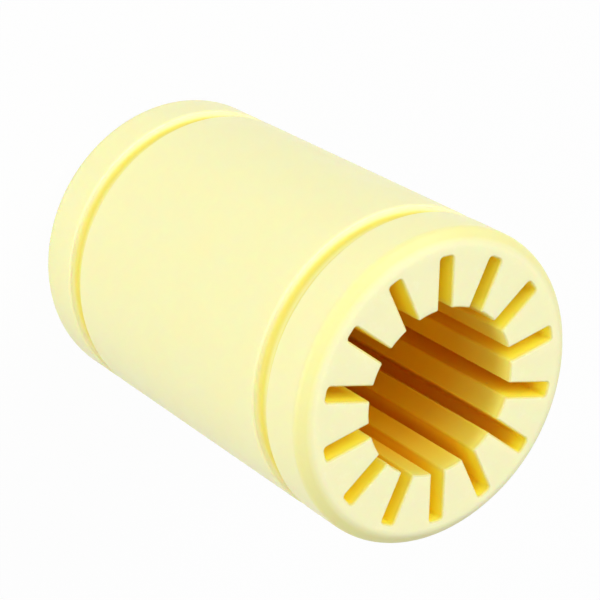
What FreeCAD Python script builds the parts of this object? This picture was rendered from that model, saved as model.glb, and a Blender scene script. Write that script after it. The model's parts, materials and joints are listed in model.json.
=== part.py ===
import FreeCAD, Part
import math
import os

# Polymer linear bearing: one moulded sleeve that slides along a round shaft.
# The shaft runs on flat-tipped pads, and the slots between the pads carry dirt away.
# Two ring grooves near the ends take retaining rings that hold it in its housing.
# Millimetres. It stands on one end: +Z runs up the bore axis, the origin is the middle of
# the lower end face, and +X points along the middle of a slot.

# Sleeve
outside_diameter = 19.0
sleeve_length = 29.0
end_chamfer = 0.7
chamfer_edge_radius = 0.35

# Slotted bore
bore_diameter = 10.0
slot_count = 14
slot_width = 0.9
slot_root_diameter = 16.2
slot_corner_radius = 0.2
pad_edge_radius = 0.12

# Retaining ring grooves; the span is over their outer edges
groove_width = 1.3
groove_diameter = 18.0
groove_span = 22.0

# Worked out from the sizes above
outside_radius = outside_diameter / 2
bore_radius = bore_diameter / 2
slot_root_radius = slot_root_diameter / 2
groove_radius = groove_diameter / 2
slot_pitch = 360 / slot_count
lower_groove = (sleeve_length - groove_span) / 2
upper_groove = (sleeve_length + groove_span) / 2 - groove_width
cutter_overrun = end_chamfer

centre = FreeCAD.Vector(0, 0, 0)
up = FreeCAD.Vector(0, 0, 1)


def line(start, end):
    return Part.LineSegment(start, end).toShape()


def arc(start, middle, end):
    return Part.Arc(start, middle, end).toShape()


def rounded_outline(corners):
    """Closed wire through (point, radius) corners, each rounded by an arc of its radius."""
    arrivals = []
    departures = []
    edges = []
    for index, (point, radius) in enumerate(corners):
        back = (corners[index - 1][0] - point).normalize()
        onward = (corners[(index + 1) % len(corners)][0] - point).normalize()
        half_angle = back.getAngle(onward) / 2
        setback = radius / math.tan(half_angle)
        arrivals.append(point + back * setback)
        departures.append(point + onward * setback)
        if radius > 0:
            inward = (back + onward).normalize()
            crown = point + inward * (radius / math.sin(half_angle) - radius)
            edges.append(arc(arrivals[-1], crown, departures[-1]))
    for index, departure in enumerate(departures):
        edges.append(line(departure, arrivals[(index + 1) % len(corners)]))
    return Part.Wire(Part.__sortEdges__(edges))


def groove_corners(bottom):
    """Square ring groove in the outside, met from below, as corners of the half section."""
    top = bottom + groove_width
    steps = [
        (outside_radius, bottom),
        (groove_radius, bottom),
        (groove_radius, top),
        (outside_radius, top),
    ]
    return [(FreeCAD.Vector(radius, 0, height), 0) for radius, height in steps]


def turned_body():
    """Solid barrel with its chamfered ends and ring grooves, turned about the bore axis."""
    flat_radius = outside_radius - end_chamfer
    chamfer_top = sleeve_length - end_chamfer
    half_section = [
        (centre, 0),
        (FreeCAD.Vector(flat_radius, 0, 0), chamfer_edge_radius),
        (FreeCAD.Vector(outside_radius, 0, end_chamfer), chamfer_edge_radius),
        *groove_corners(lower_groove),
        *groove_corners(upper_groove),
        (FreeCAD.Vector(outside_radius, 0, chamfer_top), chamfer_edge_radius),
        (FreeCAD.Vector(flat_radius, 0, sleeve_length), chamfer_edge_radius),
        (FreeCAD.Vector(0, 0, sleeve_length), 0),
    ]
    return Part.Face(rounded_outline(half_section)).revolve(centre, up, 360)


def slot_half():
    """Points down one wall of the slot on +X, from the bore circle to the middle of its root.

    A pad's edge is rounded by a circle that touches both the bore and the slot wall from
    inside the pad, so its centre lies one edge radius outside the bore circle.
    """
    wall = slot_width / 2
    rounding_y = wall + pad_edge_radius
    rounding_distance = bore_radius + pad_edge_radius
    rounding_x = math.sqrt(rounding_distance ** 2 - rounding_y ** 2)
    rounding = FreeCAD.Vector(rounding_x, rounding_y, 0)
    on_bore = rounding * (bore_radius / rounding_distance)
    on_wall = FreeCAD.Vector(rounding_x, wall, 0)
    nose = (on_bore + on_wall) / 2 - rounding
    edge_crown = rounding + nose.normalize() * pad_edge_radius
    corner = FreeCAD.Vector(slot_root_radius - slot_corner_radius, wall - slot_corner_radius, 0)
    corner_crown = corner + FreeCAD.Vector(1, 1, 0).normalize() * slot_corner_radius
    corner_start = FreeCAD.Vector(corner.x, wall, 0)
    corner_end = FreeCAD.Vector(slot_root_radius, corner.y, 0)
    return on_bore, edge_crown, on_wall, corner_start, corner_crown, corner_end


def mirrored(point):
    return FreeCAD.Vector(point.x, -point.y, point.z)


def slot_edges(points):
    """One slot's outline, from the pad edge below +X round its root to the pad edge above."""
    on_bore, edge_crown, on_wall, corner_start, corner_crown, corner_end = points
    lower = [mirrored(point) for point in points]
    return [
        arc(lower[0], lower[1], lower[2]),
        line(lower[2], lower[3]),
        arc(lower[3], lower[4], lower[5]),
        line(lower[5], corner_end),
        arc(corner_end, corner_crown, corner_start),
        line(corner_start, on_wall),
        arc(on_wall, edge_crown, on_bore),
    ]


def pad_tip(on_bore):
    """The arc of the bore circle that the pad after the slot on +X bears with."""
    turn = FreeCAD.Rotation(up, slot_pitch)
    half_turn = FreeCAD.Rotation(up, slot_pitch / 2)
    next_pad_edge = turn.multVec(mirrored(on_bore))
    crown = half_turn.multVec(FreeCAD.Vector(bore_radius, 0, 0))
    return arc(on_bore, crown, next_pad_edge)


def slotted_bore():
    """What the sleeve is hollowed by: the shaft's bore and the slots round it, end to end."""
    points = slot_half()
    step = slot_edges(points) + [pad_tip(points[0])]
    edges = []
    for index in range(slot_count):
        for edge in step:
            turned = edge.copy()
            turned.rotate(centre, up, index * slot_pitch)
            edges.append(turned)
    opening = Part.Face(Part.Wire(Part.__sortEdges__(edges)))
    opening.translate(up * -cutter_overrun)
    return opening.extrude(up * (sleeve_length + 2 * cutter_overrun))


bearing_sleeve = turned_body().cut(slotted_bore())

os.makedirs("parts", exist_ok=True)
bearing_sleeve.exportStep("parts/bearing_sleeve.step")
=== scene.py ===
import json
import math

import bpy
import numpy as np
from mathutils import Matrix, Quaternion, Vector


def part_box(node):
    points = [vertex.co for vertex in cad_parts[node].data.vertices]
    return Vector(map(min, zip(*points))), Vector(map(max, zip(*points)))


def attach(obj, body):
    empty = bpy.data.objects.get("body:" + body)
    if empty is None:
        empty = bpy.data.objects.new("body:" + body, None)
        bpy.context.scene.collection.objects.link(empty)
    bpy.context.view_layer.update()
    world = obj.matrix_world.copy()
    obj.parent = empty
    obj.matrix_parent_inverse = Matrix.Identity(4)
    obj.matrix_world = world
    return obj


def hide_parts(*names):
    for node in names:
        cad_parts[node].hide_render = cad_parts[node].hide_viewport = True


# Polymer linear bearing in pale yellow plastic, standing on a white floor.
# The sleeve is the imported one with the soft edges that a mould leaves.
# Metres, in the row frame: +Z runs up the bore axis from the middle of the lower end.

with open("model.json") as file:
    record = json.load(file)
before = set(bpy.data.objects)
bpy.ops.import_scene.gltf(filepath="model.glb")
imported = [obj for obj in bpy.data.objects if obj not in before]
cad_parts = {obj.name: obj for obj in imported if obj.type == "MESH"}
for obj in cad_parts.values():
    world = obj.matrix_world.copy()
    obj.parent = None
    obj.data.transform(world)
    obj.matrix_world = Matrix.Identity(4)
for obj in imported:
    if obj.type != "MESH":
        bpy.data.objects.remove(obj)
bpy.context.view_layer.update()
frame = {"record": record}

MM = 0.001

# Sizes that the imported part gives
low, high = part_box("bearing_sleeve")
mounts = {mount["name"]: mount for mount in frame["record"]["mounts"]}
grooves = [mounts["lower_ring_groove"], mounts["upper_ring_groove"]]
length = high.z - low.z
outside_radius = (high.x - low.x) / 2
bore_radius = mounts["shaft_bore"]["dims"]["r_mm"] * MM
groove_radius = grooves[0]["dims"]["r_mm"] * MM
groove_width = grooves[0]["dims"]["length_mm"] * MM
groove_middles = [groove["pos_m"][2] for groove in grooves]

# Sizes of the solid that its record doesn't give
slot_count = 14
slot_width = 0.9 * MM
slot_root_radius = 8.1 * MM
slot_corner_radius = 0.2 * MM
pad_edge_radius = 0.12 * MM
end_chamfer = 0.7 * MM

# Softening that the mould gives the edges. A pad's edge keeps at least the least radius at the mouth.
chamfer_edge_radius = 0.5 * MM
face_edge_radius = 0.9 * MM
mouth_edge_radius = 0.13 * MM
least_edge_radius = 0.02 * MM
groove_edge_radius = 0.15 * MM
groove_corner_radius = 0.3 * MM

# Mesh steps along each part of the bore's outline, round each edge, and down the bore
root_steps = 3
corner_steps = 4
wall_steps = 4
edge_steps = 3
tip_steps = 5
round_steps = 5
bore_steps = 12

# Camera of the photograph
photo_width = 600
focal_length_px = 2164.2
camera_aim = Vector((0.4425, -0.4046, 14.5)) * MM
camera_distance = 131.85 * MM
camera_azimuth = math.radians(54.332)
camera_elevation = math.radians(49.220)
camera_roll = math.radians(119.469)

# Stage and lamps
floor_half = 1.5
lamp_distance = 0.80

# How often light may bounce between the walls of the bore
bore_bounces = 24

# Colours of the plastic. The end face is painted paler and whiter than the outside, a painted sheen;
# the chamfer is darker and more golden, painted shade
outside = (0.848, 0.82, 0.435)
outside_pale = (0.843, 0.82, 0.45)
end_face = (0.86, 0.846, 0.514)
chamfer = (0.765, 0.745, 0.326)
speck_colour = (0.42, 0.38, 0.20)
scuff_colour = (0.885, 0.868, 0.565)

# Painted shade across the rounded rim, darker and more golden from the face to the chamfer, by
# distance from the axis in mm
rim_painted_shade = [
    (8.43, end_face),
    (8.65, (0.832, 0.818, 0.495)),
    (8.81, (0.785, 0.768, 0.443)),
    (8.93, (0.775, 0.755, 0.387)),
    (9.06, chamfer),
]

# Painted shade of a groove, by distance from its edge in mm, down the wall and on to the middle of
# its floor: a painted paler band on the wall, then deep gold in the corner and on the floor where
# shade falls
groove_painted_shade = [
    (0.0, outside),
    (0.03, (0.83, 0.802, 0.44)),
    (0.1, (0.87, 0.845, 0.555)),
    (0.2, (0.915, 0.888, 0.64)),
    (0.3, (0.90, 0.858, 0.485)),
    (0.38, (0.88, 0.82, 0.335)),
    (0.5, (0.845, 0.76, 0.18)),
    (0.65, (0.81, 0.705, 0.123)),
    (0.85, (0.80, 0.705, 0.146)),
    (1.0, (0.82, 0.75, 0.24)),
    (1.15, (0.84, 0.79, 0.335)),
]

# Painted shade of the pads and slots, by depth from the nearer end in mm: darker on the mouth's
# rounded edge, then deeper and darker gold down the bore, a little lighter again deepest in
pad_painted_shade = [
    (0.0, end_face),
    (0.02, (0.66, 0.64, 0.285)),
    (0.07, (0.69, 0.665, 0.225)),
    (0.14, (0.79, 0.745, 0.20)),
    (0.3, (0.86, 0.84, 0.178)),
    (0.8, (0.87, 0.775, 0.115)),
    (1.5, (0.878, 0.735, 0.079)),
    (3.0, (0.875, 0.63, 0.045)),
    (5.0, (0.85, 0.53, 0.018)),
    (8.0, (0.93, 0.57, 0.006)),
    (14.0, (0.96, 0.65, 0.01)),
]
slot_painted_shade = [
    (0.0, end_face),
    (0.02, (0.69, 0.645, 0.265)),
    (0.07, (0.73, 0.66, 0.165)),
    (0.14, (0.86, 0.78, 0.13)),
    (0.3, (0.98, 0.88, 0.10)),
    (0.5, (0.995, 0.885, 0.07)),
    (0.8, (0.995, 0.87, 0.056)),
    (1.5, (0.985, 0.78, 0.039)),
    (3.0, (0.945, 0.69, 0.028)),
    (6.0, (0.945, 0.68, 0.024)),
    (10.0, (0.985, 0.715, 0.012)),
    (14.0, (0.99, 0.78, 0.015)),
]


def half_slot(inset):
    """The bore's outline from the middle of a slot's root, on +X, to the middle of the next pad.

    The inset moves the whole outline into the plastic. Each point has its place and the direction
    of the open side, as (x, y, open x, open y).
    """
    wall = slot_width / 2 + inset
    root_radius = slot_root_radius + inset
    corner_radius = slot_corner_radius + inset
    edge_radius = max(pad_edge_radius - inset, least_edge_radius)
    pad_radius = bore_radius + inset
    corner_x = root_radius - corner_radius
    corner_y = wall - corner_radius
    edge_y = wall + edge_radius
    edge_x = math.sqrt((pad_radius + edge_radius) ** 2 - edge_y ** 2)
    edge_angle = math.atan2(edge_y, edge_x)
    points = []
    for share in np.linspace(0, 1, root_steps, endpoint=False):
        points.append((root_radius, share * corner_y, -1, 0))
    for angle in np.linspace(0, math.pi / 2, corner_steps, endpoint=False):
        c, s = math.cos(angle), math.sin(angle)
        points.append((corner_x + corner_radius * c, corner_y + corner_radius * s, -c, -s))
    for x in np.linspace(corner_x, edge_x, wall_steps, endpoint=False):
        points.append((x, wall, 0, -1))
    for angle in np.linspace(-math.pi / 2, edge_angle - math.pi, edge_steps, endpoint=False):
        c, s = math.cos(angle), math.sin(angle)
        points.append((edge_x + edge_radius * c, edge_y + edge_radius * s, c, s))
    for angle in np.linspace(edge_angle, math.pi / slot_count, tip_steps + 1):
        c, s = math.cos(angle), math.sin(angle)
        points.append((pad_radius * c, pad_radius * s, -c, -s))
    return np.array(points)


def turned(vectors, angle):
    """Vectors in the plane, turned by an angle."""
    c, s = math.cos(angle), math.sin(angle)
    return vectors @ np.array([[c, s], [-s, c]])


def bore_outline(inset):
    """The whole slotted outline: places and open directions, one row a point."""
    pitch = 2 * math.pi / slot_count
    half = half_slot(inset)
    mirror = np.array([1, -1])
    other_half = half[-2:0:-1]
    places = np.vstack([half[:, :2], turned(other_half[:, :2] * mirror, pitch)])
    opens = np.vstack([half[:, 2:], turned(other_half[:, 2:] * mirror, pitch)])
    all_places = [turned(places, index * pitch) for index in range(slot_count)]
    all_opens = [turned(opens, index * pitch) for index in range(slot_count)]
    return np.vstack(all_places), np.vstack(all_opens)


def rounded_run(corners):
    """Rows of a half section through (radius, height, rounding) corners, without its two ends.

    Each row is (radius, height, outward part of the normal, upward part of the normal).
    """
    rows = []
    for before, corner, after in zip(corners, corners[1:], corners[2:]):
        point = np.array(corner[:2])
        arriving = point - before[:2]
        leaving = np.array(after[:2]) - point
        arriving /= np.linalg.norm(arriving)
        leaving /= np.linalg.norm(leaving)
        cross = arriving[0] * leaving[1] - arriving[1] * leaving[0]
        turn = math.atan2(cross, arriving @ leaving)
        bulge = math.copysign(1, turn)
        normal = np.array([arriving[1], -arriving[0]])
        start = point - arriving * corner[2] * math.tan(abs(turn) / 2)
        centre = start - normal * corner[2] * bulge
        for share in np.linspace(0, 1, round_steps + 1):
            now = turned(normal, turn * share)
            rows.append((*(centre + now * corner[2] * bulge), *now))
    return rows


def outside_rows():
    """Half section from the lower end face round the outside to the upper end face."""
    flat_radius = outside_radius - end_chamfer
    corners = [
        (bore_radius, 0, 0),
        (flat_radius, 0, face_edge_radius),
        (outside_radius, end_chamfer, chamfer_edge_radius),
    ]
    for middle in groove_middles:
        bottom, top = middle - groove_width / 2, middle + groove_width / 2
        corners += [
            (outside_radius, bottom, groove_edge_radius),
            (groove_radius, bottom, groove_corner_radius),
            (groove_radius, top, groove_corner_radius),
            (outside_radius, top, groove_edge_radius),
        ]
    corners += [
        (outside_radius, length - end_chamfer, chamfer_edge_radius),
        (flat_radius, length, face_edge_radius),
        (bore_radius, length, 0),
    ]
    return rounded_run(corners)


def inside_rows():
    """Rows down the bore, from the upper mouth to the lower one.

    Each row is (inset into the wall, height, open part of the normal, upward part of the normal).
    """
    rows = []
    for angle in np.linspace(0, math.pi / 2, round_steps + 1):
        s, c = math.sin(angle), math.cos(angle)
        rows.append((mouth_edge_radius * (1 - s), length - mouth_edge_radius * (1 - c), s, c))
    lowest = [(inset, length - height, opens, -up) for inset, height, opens, up in reversed(rows)]
    for height in np.linspace(rows[-1][1], lowest[0][1], bore_steps + 1)[1:-1]:
        rows.append((0, height, 1, 0))
    return rows + lowest


def sleeve_mesh():
    """One closed skin: every row has the same columns, and the last row joins the first."""
    columns = len(bore_outline(0)[0])
    angles = np.arange(columns) * 2 * math.pi / columns
    around = np.stack([np.cos(angles), np.sin(angles)], 1)
    points, normals = [], []
    for radius, height, outward, upward in outside_rows():
        points.append(np.column_stack([around * radius, np.full(columns, height)]))
        normals.append(np.column_stack([around * outward, np.full(columns, upward)]))
    for inset, height, open_part, upward in inside_rows():
        places, opens = bore_outline(inset)
        points.append(np.column_stack([places, np.full(columns, height)]))
        normals.append(np.column_stack([opens * open_part, np.full(columns, upward)]))
    rows = len(points)
    faces = []
    for row in range(rows):
        next_row = (row + 1) % rows
        for column in range(columns):
            next_column = (column + 1) % columns
            faces.append((
                row * columns + column,
                row * columns + next_column,
                next_row * columns + next_column,
                next_row * columns + column,
            ))
    mesh = bpy.data.meshes.new("bearing_sleeve_skin")
    mesh.from_pydata(np.vstack(points).tolist(), [], faces)
    mesh.shade_smooth()
    mesh.normals_split_custom_set_from_vertices(np.vstack(normals).tolist())
    return mesh


class Graph:
    """Adds shader nodes. All but add return the output that the next call takes."""

    def __init__(self, tree):
        self.tree = tree
        self.tree.nodes.clear()

    def add(self, kind, inputs, **settings):
        """A new node. An input is a value, or another node's output to link."""
        node = self.tree.nodes.new(kind)
        for name, value in settings.items():
            setattr(node, name, value)
        for key, value in inputs.items():
            if isinstance(value, bpy.types.NodeSocket):
                self.tree.links.new(value, node.inputs[key])
            else:
                node.inputs[key].default_value = value
        return node

    def math(self, operation, *values):
        node = self.add("ShaderNodeMath", dict(enumerate(values)), operation=operation)
        return node.outputs[0]

    def fade(self, value, start, end):
        """0 at start and 1 at end, smooth between them."""
        node = self.add(
            "ShaderNodeMapRange",
            {"Value": value, "From Min": start, "From Max": end},
            interpolation_type="SMOOTHSTEP",
        )
        return node.outputs["Result"]

    def scaled(self, value, low_in, high_in, low_out, high_out):
        """A range mapped straight on to another one, and held at its ends."""
        node = self.add("ShaderNodeMapRange", {
            "Value": value,
            "From Min": low_in,
            "From Max": high_in,
            "To Min": low_out,
            "To Max": high_out,
        })
        return node.outputs["Result"]

    def noise(self, vector, scale, detail, roughness=0.5):
        node = self.add(
            "ShaderNodeTexNoise",
            {"Vector": vector, "Scale": scale, "Detail": detail, "Roughness": roughness},
        )
        return node.outputs["Fac"]

    def mix(self, share, first, second):
        """Mix of two colours."""
        node = self.add("ShaderNodeMix", {0: share, 6: first, 7: second}, data_type="RGBA")
        return node.outputs[2]

    def shades(self, value, stops, power=1.0):
        """Colour at a distance, from (distance, colour) stops.

        A power under 1 keeps more detail near the first stop.
        """
        start, end = stops[0][0], stops[-1][0]
        share = self.math("POWER", self.scaled(value, start, end, 0.0, 1.0), power)
        node = self.add("ShaderNodeValToRGB", {"Fac": share})
        elements = node.color_ramp.elements
        while len(elements) < len(stops):
            elements.new(1.0)
        for element, (distance, colour) in zip(elements, stops):
            element.position = ((distance - start) / (end - start)) ** power
            element.color = (*colour, 1)
        return node.outputs["Color"]


def bearing_polymer():
    """Satin yellow plastic. Painted shade stands in for the deeper colour of light that comes back
    from the bore and grooves, and for the shade on the rim.
    """
    bore_limit = 8.35
    depth_power = 0.5
    speck_strength = 0.45
    scuff_strength = 0.6
    scuff_dullness = 0.1
    material = bpy.data.materials.new("bearing_polymer")
    material.use_nodes = True
    g = Graph(material.node_tree)

    # Distance from the axis, and depth from the nearer end, in mm
    place = g.add("ShaderNodeTexCoord", {}).outputs["Object"]
    in_mm = g.add("ShaderNodeVectorMath", {0: place, "Scale": 1 / MM}, operation="SCALE").outputs[0]
    x, y, z = g.add("ShaderNodeSeparateXYZ", {0: in_mm}).outputs
    flat = g.add("ShaderNodeCombineXYZ", {0: x, 1: y}).outputs[0]
    radius = g.add("ShaderNodeVectorMath", {0: flat}, operation="LENGTH").outputs["Value"]
    depth = g.math("MINIMUM", z, g.math("SUBTRACT", length / MM, z))

    # Outside with faint clouds, and painted shade on the rounded rim
    clouds = g.fade(g.noise(in_mm, scale=0.35, detail=3.0), start=0.35, end=0.7)
    colour = g.mix(clouds, (*outside, 1), (*outside_pale, 1))
    on_rim = g.fade(depth, start=1.05, end=0.6)
    colour = g.mix(on_rim, colour, g.shades(radius, rim_painted_shade))

    # Grooves, with painted shade: pale on the wall, deep gold in the corner and on the floor
    half_floor = groove_width / 2 / MM
    from_middle = g.math("ABSOLUTE", g.math("SUBTRACT", depth, groove_middles[0] / MM))
    down_wall = g.math("SUBTRACT", outside_radius / MM, radius)
    along_floor = g.scaled(from_middle, half_floor, 0.0, 0.0, half_floor)
    in_groove = g.math("LESS_THAN", from_middle, half_floor + groove_edge_radius / MM)
    from_edge = g.math("ADD", down_wall, along_floor)
    colour = g.mix(in_groove, colour, g.shades(from_edge, groove_painted_shade))

    # Pads and slots, with painted shade that deepens down the bore
    pad_colour = g.shades(depth, pad_painted_shade, depth_power)
    slot_colour = g.shades(depth, slot_painted_shade, depth_power)
    in_slot = g.fade(radius, start=5.02, end=5.4)
    in_bore = g.math("LESS_THAN", radius, bore_limit)
    colour = g.mix(in_bore, colour, g.mix(in_slot, pad_colour, slot_colour))

    # Specks all over, and scuffs on the end faces
    cells = g.add("ShaderNodeTexVoronoi", {"Vector": in_mm, "Scale": 0.3}, feature="F1")
    speck = g.fade(cells.outputs["Distance"], start=0.036, end=0.015)
    colour = g.mix(g.math("MULTIPLY", speck, speck_strength), colour, (*speck_colour, 1))
    rubbed = g.fade(g.noise(in_mm, scale=1.6, detail=6.0, roughness=0.7), start=0.54, end=0.66)
    on_face = g.fade(depth, start=0.06, end=0.0)
    scuff = g.math("MULTIPLY", rubbed, on_face)
    colour = g.mix(g.math("MULTIPLY", scuff, scuff_strength), colour, (*scuff_colour, 1))

    # Satin gloss, and the fine grain of the mould
    smudge = g.noise(in_mm, scale=0.8, detail=4.0, roughness=0.6)
    satin = g.scaled(smudge, low_in=0.3, high_in=0.7, low_out=0.36, high_out=0.46)
    roughness = g.math("ADD", satin, g.math("MULTIPLY", scuff, scuff_dullness))
    grain = g.noise(in_mm, scale=7.0, detail=3.0)
    bump = g.add("ShaderNodeBump", {"Height": grain, "Strength": 0.15, "Distance": 0.01 * MM})

    shader = g.add("ShaderNodeBsdfPrincipled", {
        "Base Color": colour,
        "Roughness": roughness,
        "Normal": bump.outputs[0],
        "IOR": 1.5,
        "Specular IOR Level": 0.35,
        "Subsurface Weight": 0.7,
        "Subsurface Radius": (1.0, 0.6, 0.2),
        "Subsurface Scale": 1.0 * MM,
    })
    g.add("ShaderNodeOutputMaterial", {"Surface": shader.outputs[0]})
    return material


def seen_directly(g):
    """1 for rays that show the background itself: to the camera, in gloss and through glass."""
    path = g.add("ShaderNodeLightPath", {}).outputs
    glossy = g.math("MAXIMUM", path["Is Camera Ray"], path["Is Glossy Ray"])
    return g.math("MAXIMUM", glossy, path["Is Transmission Ray"])


def white_floor():
    """Pale floor that shows as white where it is looked at, and keeps a faint shadow.

    Inside the bore less white shows, and a painted golden glow stands in for the light that the walls
    throw on it.
    """
    grey = (0.6, 0.6, 0.6, 1)
    white = (1, 1, 1, 1)
    white_share = 0.97
    # Painted golden glow on the floor inside the bore
    painted_bore_glow = (1.0, 0.76, 0.28, 1)
    bore_glow_share = 0.3
    material = bpy.data.materials.new("white_floor")
    material.use_nodes = True
    g = Graph(material.node_tree)
    plain = g.add("ShaderNodeBsdfDiffuse", {"Color": grey})
    place = g.add("ShaderNodeTexCoord", {}).outputs["Object"]
    from_axis = g.add("ShaderNodeVectorMath", {0: place}, operation="LENGTH").outputs["Value"]
    open_floor = g.math("GREATER_THAN", from_axis, slot_root_radius)
    shown = g.mix(open_floor, painted_bore_glow, white)
    bright = g.add("ShaderNodeEmission", {"Color": shown, "Strength": 1.0})
    share_here = g.scaled(open_floor, 0.0, 1.0, bore_glow_share, white_share)
    share = g.math("MULTIPLY", seen_directly(g), share_here)
    both = g.add("ShaderNodeMixShader", {0: share, 1: plain.outputs[0], 2: bright.outputs[0]})
    g.add("ShaderNodeOutputMaterial", {"Surface": both.outputs[0]})
    return material


def white_world(fill):
    """World that shows as white and lights the sleeve from all round at the fill's strength."""
    white = (1, 1, 1, 1)
    world = bpy.data.worlds.new("white_world")
    world.use_nodes = True
    g = Graph(world.node_tree)
    soft = g.add("ShaderNodeBackground", {"Color": white, "Strength": fill})
    bright = g.add("ShaderNodeBackground", {"Color": white, "Strength": 1.0})
    share = seen_directly(g)
    both = g.add("ShaderNodeMixShader", {0: share, 1: soft.outputs[0], 2: bright.outputs[0]})
    g.add("ShaderNodeOutputWorld", {"Surface": both.outputs[0]})
    return world


def direction(azimuth, elevation):
    """Unit vector towards an azimuth from +X and an elevation above the floor, in radians."""
    across = math.cos(elevation)
    return Vector((across * math.cos(azimuth), across * math.sin(azimuth), math.sin(elevation)))


def softbox(name, azimuth, elevation, width, height, level):
    """Lamp that looks at the sleeve, from angles in degrees.

    At level 1 it lights a white sheet that faces it to white.
    """
    lamp = bpy.data.lights.new(name, "AREA")
    lamp.shape = "RECTANGLE"
    lamp.size = width
    lamp.size_y = height
    lamp.energy = level * (math.pi * lamp_distance) ** 2
    box = bpy.data.objects.new(name, lamp)
    towards = direction(math.radians(azimuth), math.radians(elevation))
    box.location = Vector((0, 0, length / 2)) + towards * lamp_distance
    box.rotation_mode = "QUATERNION"
    box.rotation_quaternion = (-towards).to_track_quat("-Z", "Y")
    bpy.context.scene.collection.objects.link(box)


def photo_camera():
    """Camera at the photograph's place, made the scene's own."""
    camera = bpy.data.cameras.new("photo_camera")
    camera.sensor_width = 36
    camera.lens = camera.sensor_width * focal_length_px / photo_width
    camera.clip_start = 0.01
    camera.clip_end = 10
    holder = bpy.data.objects.new("photo_camera", camera)
    back = direction(camera_azimuth, camera_elevation)
    holder.location = camera_aim + back * camera_distance
    holder.rotation_mode = "QUATERNION"
    level = (-back).to_track_quat("-Z", "Y")
    holder.rotation_quaternion = level @ Quaternion((0, 0, 1), camera_roll)
    bpy.context.scene.collection.objects.link(holder)
    bpy.context.scene.camera = holder


# The sleeve
sleeve = bpy.data.objects.new("moulded_sleeve", sleeve_mesh())
bpy.context.scene.collection.objects.link(sleeve)
sleeve.data.materials.append(bearing_polymer())
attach(sleeve, "root")
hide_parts("bearing_sleeve")

# Floor, light and camera
corner_signs = [(-1, -1), (1, -1), (1, 1), (-1, 1)]
floor_points = [(x * floor_half, y * floor_half, low.z) for x, y in corner_signs]
floor_mesh = bpy.data.meshes.new("floor")
floor_mesh.from_pydata(floor_points, [], [(0, 1, 2, 3)])
floor_mesh.materials.append(white_floor())
floor = bpy.data.objects.new("floor", floor_mesh)
bpy.context.scene.collection.objects.link(floor)

bpy.context.scene.world = white_world(fill=0.47)
softbox("right_lamp", azimuth=-28, elevation=45, width=0.56, height=0.56, level=0.68)
softbox("front_lamp", azimuth=42, elevation=20, width=0.56, height=0.56, level=0.20)
softbox("left_lamp", azimuth=91, elevation=5, width=0.56, height=0.12, level=0.44)
softbox("high_lamp", azimuth=94, elevation=55, width=0.56, height=0.56, level=0.10)
photo_camera()

bpy.context.scene.view_settings.view_transform = "Standard"
bpy.context.scene.cycles.max_bounces = bore_bounces
bpy.context.scene.cycles.diffuse_bounces = bore_bounces
